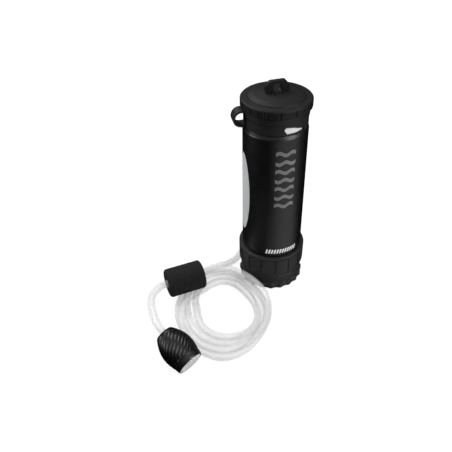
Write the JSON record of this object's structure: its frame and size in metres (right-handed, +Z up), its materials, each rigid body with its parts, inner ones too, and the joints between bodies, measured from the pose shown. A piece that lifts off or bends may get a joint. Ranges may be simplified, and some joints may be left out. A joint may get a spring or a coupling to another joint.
{
  "type": "pump water filter",
  "caption": "Black filter bottle with a screw lid on a tether loop, a hand pump in its screw-off base, and a coiled clear suction hose with a foam float and a strainer.",
  "frame": {"origin": "on the bottle's axis, on the surface that the pump handle stands on", "axes": "+Z up along the bottle's axis; -Y is the bottle's printed front; the hose lies on the -X side"},
  "size_m": [0.2072, 0.1915, 0.2575],
  "materials": {
    "black_shell": "smooth satin black moulding",
    "collar_plastic": "fine-textured dark grey moulding",
    "lid_plastic": "fine-textured dark grey moulding",
    "tether_rubber": "matt black elastomer with fine diagonal ribs",
    "window_plastic": "frosted pale grey level window",
    "white_plastic": "white moulding",
    "clear_hose": "clear soft tube",
    "seal_rubber": "black seal rubber",
    "foam_black": "closed-cell black foam",
    "steel": "plain stainless steel",
    "rod_alloy": "drawn tube, flats milled on it",
    "fibre_white": "hollow membrane fibres",
    "potting_resin": "cast resin",
    "carbon_black": "pressed carbon",
    "mesh_white": "woven strainer mesh",
    "teat_silicone": "translucent silicone"
  },
  "bodies": {
    "root": {"pump_handle": "collar_plastic", "handle_plate": "collar_plastic", "plate_screws": "steel", "hose_elbow": "collar_plastic", "elbow_oring": "seal_rubber", "piston_rod": "rod_alloy", "piston_head": "white_plastic", "piston_seal": "seal_rubber", "inlet_keeper": "white_plastic", "hose_lead": "clear_hose", "hose_coil": "clear_hose", "hose_tail": "clear_hose", "prefilter_housing": "black_shell", "prefilter_cap": "black_shell", "prefilter_mesh": "mesh_white", "prefilter_core": "foam_black", "prefilter_weight": "steel", "prefilter_barb": "white_plastic"},
    "float": {"hose_float": "foam_black"},
    "inlet_disc": {"inlet_valve": "seal_rubber"},
    "lock": {"lock_ring": "white_plastic"},
    "base": {"base_collar": "collar_plastic", "pump_cylinder": "white_plastic", "outlet_keeper": "white_plastic"},
    "outlet_disc": {"outlet_valve": "seal_rubber"},
    "washer": {"base_seal": "seal_rubber"},
    "bottle": {"bottle_shell": "black_shell", "level_window": "window_plastic", "cartridge_head": "white_plastic", "cartridge_oring": "seal_rubber", "cartridge_housing": "white_plastic", "fibre_bundle": "fibre_white", "fibre_potting": "potting_resin", "carbon_disc": "carbon_black", "drink_teat": "teat_silicone", "tether_clip": "tether_rubber", "tether_strap": "tether_rubber"},
    "tether": {"tether_ring": "tether_rubber"},
    "lid": {"lid_cap": "lid_plastic", "lid_seal": "seal_rubber"}
  },
  "joints": [
    {"name": "pump_stroke", "type": "slide", "parent": "root", "child": "lock", "axis": [0, 0, 1], "range_m": [0, 0.056]},
    {"name": "twist_lock", "type": "hinge", "parent": "lock", "child": "base", "pos_m": [0, 0, 0.0211], "axis": [0, 0, 1], "range_deg": [0, 45]},
    {"name": "base_turn", "type": "hinge", "parent": "base", "child": "washer", "pos_m": [0, 0, 0.028], "axis": [0, 0, 1], "range_deg": [0, 900]},
    {"name": "base_rise", "type": "slide", "parent": "washer", "child": "bottle", "axis": [0, 0, 1], "range_m": [0, 0.0202]},
    {"name": "lid_rise", "type": "slide", "parent": "bottle", "child": "tether", "axis": [0, 0, 1], "range_m": [0, 0.0076], "deforming": ["tether_strap"]},
    {"name": "lid_turn", "type": "hinge", "parent": "tether", "child": "lid", "pos_m": [0, 0, 0.236], "axis": [0, 0, 1], "range_deg": [0, 450]},
    {"name": "float_slide", "type": "slide", "parent": "root", "child": "float", "axis": [0.9922, 0.125, 0], "range_m": [0, 0.01]},
    {"name": "inlet_lift", "type": "slide", "parent": "root", "child": "inlet_disc", "axis": [0, 0, 1], "range_m": [0, 0.0012]},
    {"name": "outlet_lift", "type": "slide", "parent": "base", "child": "outlet_disc", "axis": [0, 0, 1], "range_m": [0, 0.0012]}
  ],
  "couplings": [
    {"joint": "base_rise", "follows": "base_turn", "m_per_rad": 0.0012732},
    {"joint": "lid_rise", "follows": "lid_turn", "m_per_rad": 0.00095493}
  ]
}
